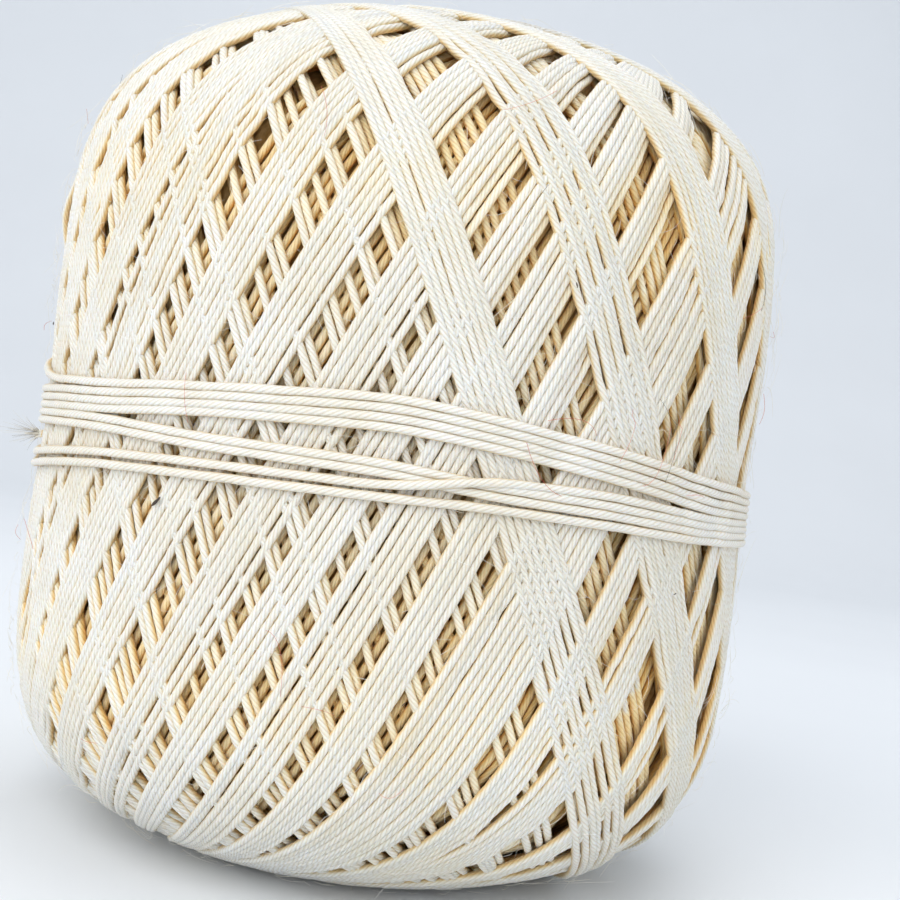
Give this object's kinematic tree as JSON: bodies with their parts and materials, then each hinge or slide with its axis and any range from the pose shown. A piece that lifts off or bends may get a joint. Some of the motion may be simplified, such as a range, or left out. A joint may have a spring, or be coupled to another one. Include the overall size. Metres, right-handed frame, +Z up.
{
  "type": "thread ball",
  "caption": "Barrel-shaped ball of cross-wound natural cotton thread on a paper core tube, closed by turns round its waist, with a bore for a spindle.",
  "frame": {"origin": "middle of the flat foot ring at the bottom end of the ball, on the axis of the core", "axes": "+Z up along the core's axis, -Y towards the front, where the two groups of waist turns stand apart"},
  "size_m": [0.077, 0.077, 0.084],
  "materials": {
    "kraft_paper": "matte",
    "cotton_winding": "matte",
    "waist_thread": "matte"
  },
  "bodies": {
    "root": {"core_inner_ply": "kraft_paper", "core_middle_ply": "kraft_paper", "core_outer_ply": "kraft_paper", "start_wraps": "cotton_winding", "base_winding": "cotton_winding", "inner_winding": "cotton_winding", "middle_winding": "cotton_winding", "outer_winding": "cotton_winding", "face_winding": "cotton_winding", "waist_turn_1": "waist_thread", "waist_turn_2": "waist_thread", "waist_turn_3": "waist_thread", "waist_turn_4": "waist_thread", "waist_turn_5": "waist_thread", "waist_turn_6": "waist_thread", "waist_turn_7": "waist_thread", "waist_turn_8": "waist_thread", "thread_end": "waist_thread"}
  },
  "joints": []
}
